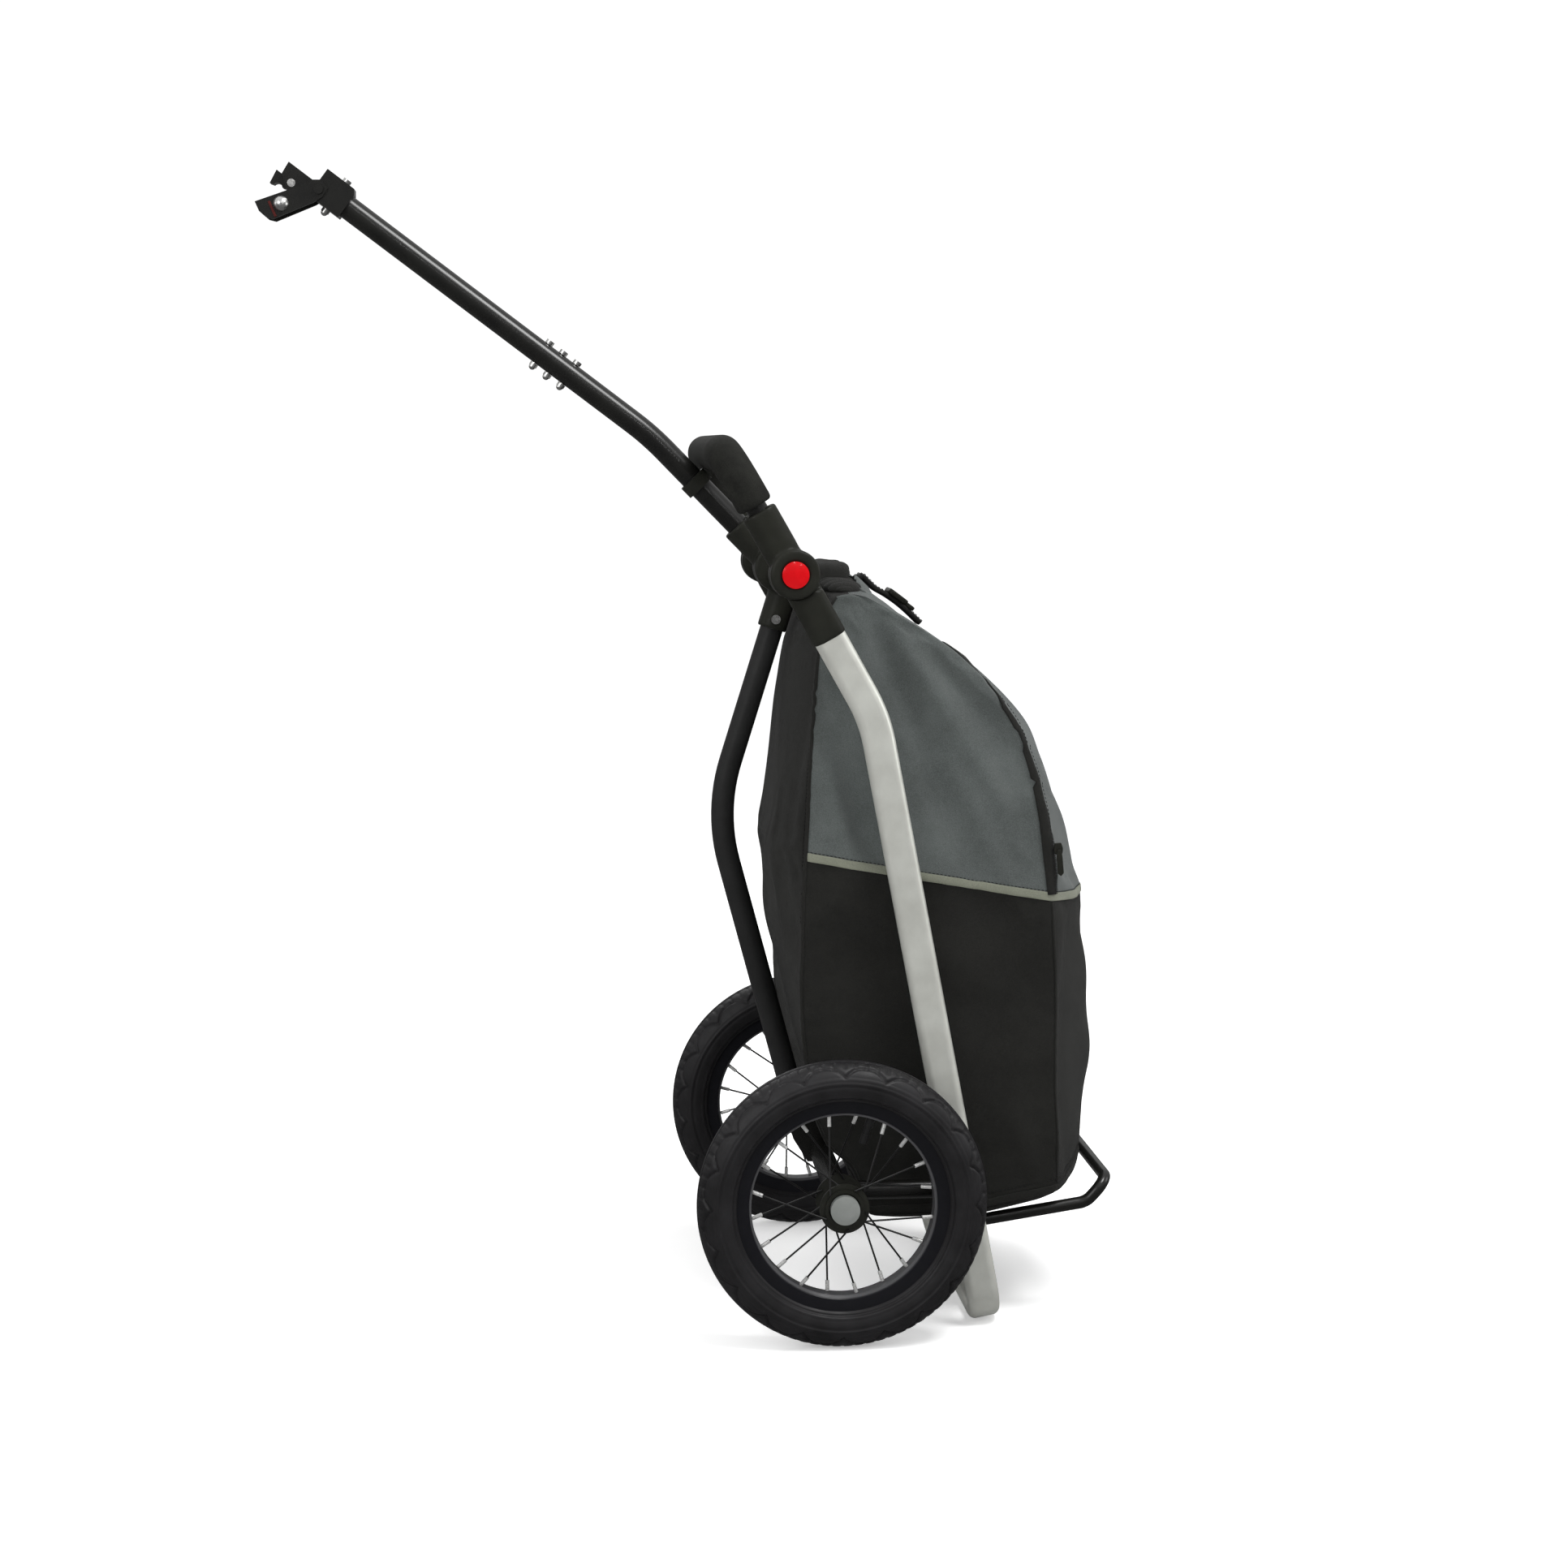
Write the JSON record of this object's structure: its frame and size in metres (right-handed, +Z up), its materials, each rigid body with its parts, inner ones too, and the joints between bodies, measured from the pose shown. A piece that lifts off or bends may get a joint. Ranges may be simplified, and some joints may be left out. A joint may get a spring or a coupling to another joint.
{
  "type": "shopping trolley with bicycle drawbar",
  "caption": "Two-wheeled shopping trolley: fabric bag on an aluminium frame with spoked wheels, a fold-down grip handle and a drawbar with a clamping bicycle hitch.",
  "frame": {"origin": "middle of the footprint, on the ground", "axes": "+X towards the front of the bag and away from the drawbar, +Y towards the right side, +Z up"},
  "size_m": [0.8996, 0.544, 1.2156],
  "materials": {
    "aluminium_tube": "satin anodised",
    "black_steel": "gloss black powder coat",
    "black_plastic": "moulded, fine grain",
    "red_plastic": "gloss",
    "grey_plastic": "satin",
    "foam": "closed-cell foam",
    "tyre_rubber": "matt, moulded tread",
    "tube_rubber": "smooth rubber",
    "rim_black": "satin black anodised",
    "spoke_black": "black oxide",
    "zinc_steel": "bright zinc plate",
    "spring_steel": "drawn wire",
    "fabric_grey": "coated polyester weave",
    "fabric_black": "coated polyester weave",
    "base_board": "stiff board",
    "red_rubber": "rubber pad"
  },
  "bodies": {
    "root": {"left_side_tube": "aluminium_tube", "right_side_tube": "aluminium_tube", "foot_bar": "aluminium_tube", "foot_spigots": "black_plastic", "side_rails": "black_steel", "axle_crossbar": "black_steel", "axle_receivers": "black_plastic", "axle_pins": "zinc_steel", "release_springs": "spring_steel", "left_lower_housing": "black_plastic", "right_lower_housing": "black_plastic", "pivot_pins": "zinc_steel", "button_springs": "spring_steel", "cross_tube": "black_steel", "central_hub": "black_plastic", "strut": "black_steel", "strut_bolts": "zinc_steel", "strut_bracket": "black_steel", "shelf_loop": "black_steel", "shelf_pivot_rod": "black_steel", "shelf_bosses": "black_plastic", "bag_body": "fabric_grey", "bag_base": "base_board", "bag_hooks": "black_plastic", "carry_strap": "fabric_black"},
    "left_wheel": {"left_tyre": "tyre_rubber", "left_inner_tube": "tube_rubber", "left_rim": "rim_black", "left_hub": "black_plastic", "left_bearings": "zinc_steel", "left_spokes": "spoke_black", "left_nipples": "zinc_steel"},
    "right_wheel": {"right_tyre": "tyre_rubber", "right_inner_tube": "tube_rubber", "right_rim": "rim_black", "right_hub": "black_plastic", "right_bearings": "zinc_steel", "right_spokes": "spoke_black", "right_nipples": "zinc_steel"},
    "left_axle_button": {"left_release_button": "grey_plastic"},
    "right_axle_button": {"right_release_button": "grey_plastic"},
    "left_joint_button": {"left_red_button": "red_plastic"},
    "right_joint_button": {"right_red_button": "red_plastic"},
    "handle": {"handle_bar": "black_steel", "foam_grip": "foam", "left_upper_housing": "black_plastic", "right_upper_housing": "black_plastic"},
    "drawbar": {"drawbar_lower": "black_steel", "drawbar_upper": "black_steel", "splice_sleeve": "black_steel", "splice_bolts": "zinc_steel", "rest_collar": "black_plastic", "hitch_sleeve": "black_steel", "hitch_body": "black_steel", "clamp_tongue": "black_steel", "hitch_bolts": "zinc_steel", "jaw_pivot_bolt": "black_steel"},
    "jaw": {"jaw_plates": "black_steel", "clamp_bolt": "zinc_steel", "jaw_pad": "red_rubber"}
  },
  "joints": [
    {"name": "left_wheel_spin", "type": "hinge", "parent": "root", "child": "left_wheel", "pos_m": [0.14935, -0.24, 0.15], "axis": [0, 1, 0], "continuous": true},
    {"name": "right_wheel_spin", "type": "hinge", "parent": "root", "child": "right_wheel", "pos_m": [0.14935, 0.24, 0.15], "axis": [0, 1, 0], "continuous": true},
    {"name": "handle_fold", "type": "hinge", "parent": "root", "child": "handle", "pos_m": [0.10135, 0, 0.793], "axis": [0, 1, 0], "range_deg": [0, 110]},
    {"name": "drawbar_pull", "type": "slide", "parent": "root", "child": "drawbar", "axis": [-0.7009, 0, 0.7133], "range_m": [0, 0.04]},
    {"name": "jaw_close", "type": "hinge", "parent": "drawbar", "child": "jaw", "pos_m": [-0.38389, 0, 1.18728], "axis": [0, 1, 0], "range_deg": [0, 22]},
    {"name": "left_red_press", "type": "slide", "parent": "root", "child": "left_joint_button", "axis": [0, 1, 0], "range_m": [0, 0.005], "stiffness_N_per_m": 600, "springref_m": -0.004},
    {"name": "right_red_press", "type": "slide", "parent": "root", "child": "right_joint_button", "axis": [0, -1, 0], "range_m": [0, 0.005], "stiffness_N_per_m": 600, "springref_m": -0.004},
    {"name": "left_release_press", "type": "slide", "parent": "root", "child": "left_axle_button", "axis": [0, 1, 0], "range_m": [0, 0.003], "stiffness_N_per_m": 800, "springref_m": -0.003},
    {"name": "right_release_press", "type": "slide", "parent": "root", "child": "right_axle_button", "axis": [0, -1, 0], "range_m": [0, 0.003], "stiffness_N_per_m": 800, "springref_m": -0.003}
  ]
}
